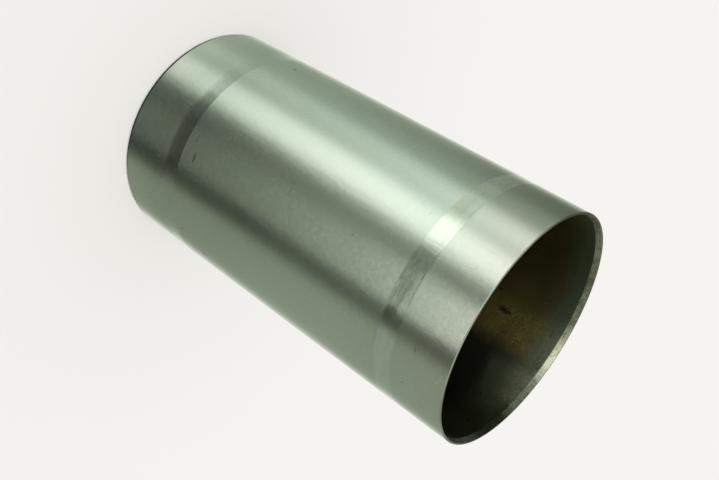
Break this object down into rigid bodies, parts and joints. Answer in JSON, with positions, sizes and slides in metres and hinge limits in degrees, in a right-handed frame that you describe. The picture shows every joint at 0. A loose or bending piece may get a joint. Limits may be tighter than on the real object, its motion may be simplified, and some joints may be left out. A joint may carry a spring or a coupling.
{
  "type": "cylinder liner",
  "caption": "Thin-walled dry cylinder liner without a flange: a ground iron sleeve that is pressed into an engine block and guides the piston.",
  "frame": {"origin": "centre of the bottom end face, the end that enters the block first", "axes": "+Z along the bore's axis, from the bottom end with the pilot to the top end with the ring lead-in; X and Y are free, as the liner is round"},
  "size_m": [0.107, 0.107, 0.194],
  "materials": {
    "liner_iron": "ground outside with a satin sheen, fine turned ends, dull bore with a thin brown film"
  },
  "bodies": {
    "root": {"cylinder_liner": "liner_iron"}
  },
  "joints": []
}
